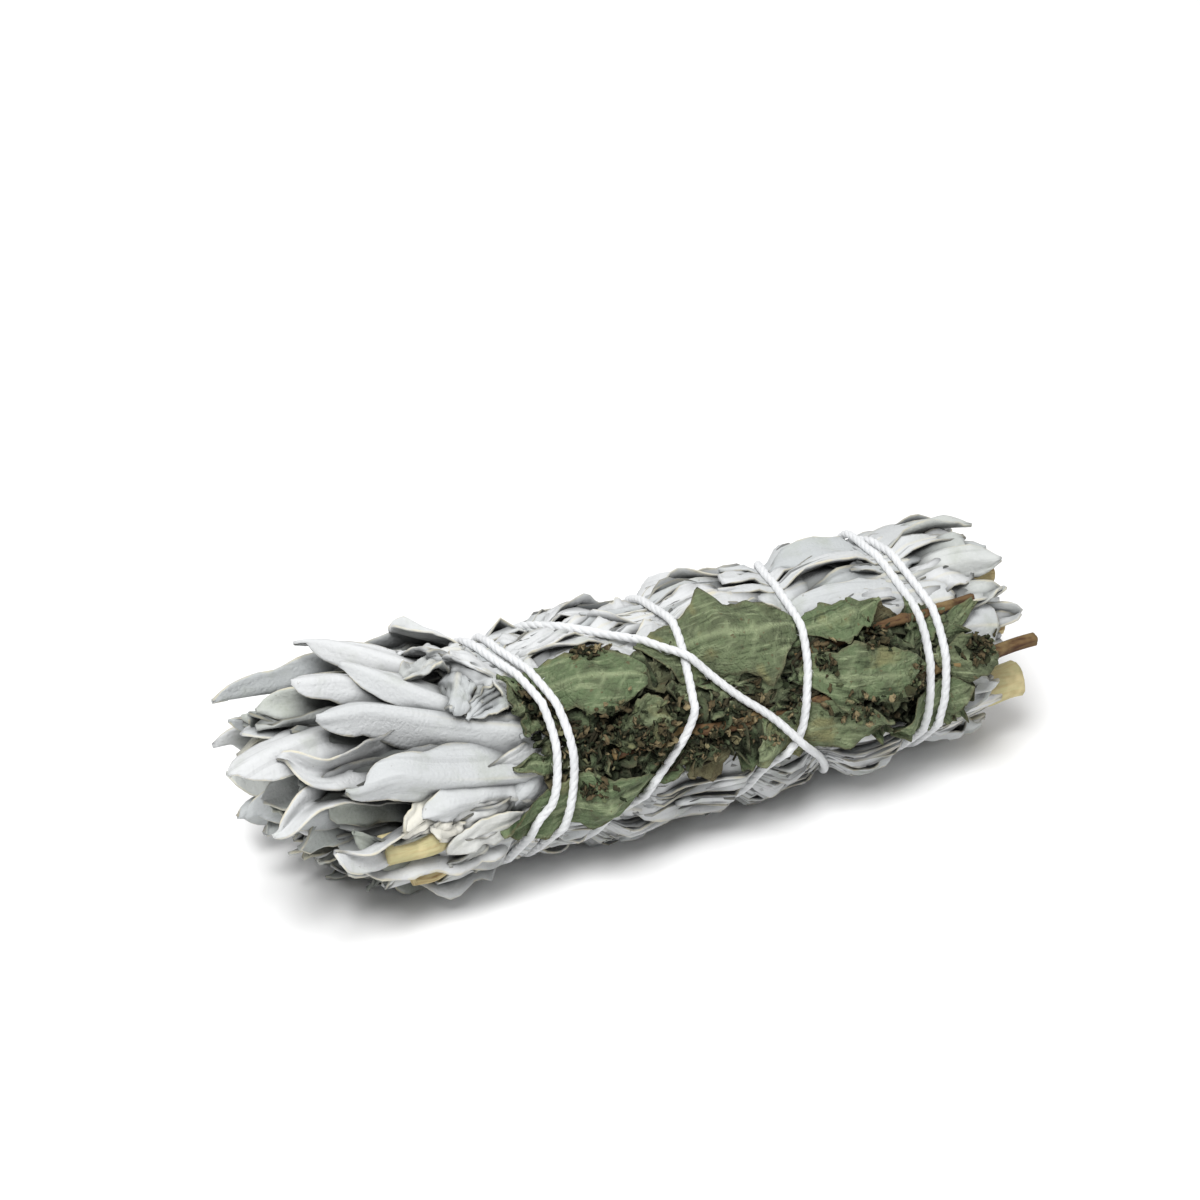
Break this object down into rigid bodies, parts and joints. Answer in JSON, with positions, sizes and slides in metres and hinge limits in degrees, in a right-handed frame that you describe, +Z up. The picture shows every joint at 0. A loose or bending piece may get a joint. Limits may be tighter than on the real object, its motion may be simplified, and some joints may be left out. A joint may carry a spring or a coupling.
{
  "type": "sage smudge stick",
  "caption": "Dried white sage leaves and stems pressed into a short bundle, with a dried mint sprig laid along one side, wound and knotted with a cotton string.",
  "frame": {"origin": "middle of the bundle's outer box, on the surface that it lies on", "axes": "+X along the bundle from the leaf tips to the cut stem ends, +Z up from the surface, -Y towards the mint sprig"},
  "size_m": [0.1172, 0.042, 0.037],
  "materials": {
    "sage_leaf": "matt, felted dry leaf",
    "sage_stem": "matt, dry woody stem",
    "mint_leaf": "matt, dry crumpled leaf",
    "mint_stem": "matt, dry woody stem",
    "mint_flower": "matt, dry flower cups",
    "cotton_string": "matt twisted cotton"
  },
  "bodies": {
    "root": {"sage_bunch": "sage_leaf", "sage_stem_1": "sage_stem", "sage_stem_2": "sage_stem", "sage_stem_3": "sage_stem", "sage_stem_4": "sage_stem", "sage_stem_5": "sage_stem", "sage_stem_6": "sage_stem", "sage_stem_7": "sage_stem", "sage_stem_8": "sage_stem", "sage_stem_9": "sage_stem", "sage_stem_10": "sage_stem", "mint_leaf_1": "mint_leaf", "mint_leaf_2": "mint_leaf", "mint_leaf_3": "mint_leaf", "mint_leaf_4": "mint_leaf", "mint_leaf_5": "mint_leaf", "mint_leaf_6": "mint_leaf", "mint_leaf_7": "mint_leaf", "mint_leaf_8": "mint_leaf", "mint_leaf_9": "mint_leaf", "mint_stem_1": "mint_stem", "mint_stem_2": "mint_stem", "mint_flower_head_1": "mint_flower", "mint_flower_head_2": "mint_flower", "cotton_string": "cotton_string"}
  },
  "joints": []
}
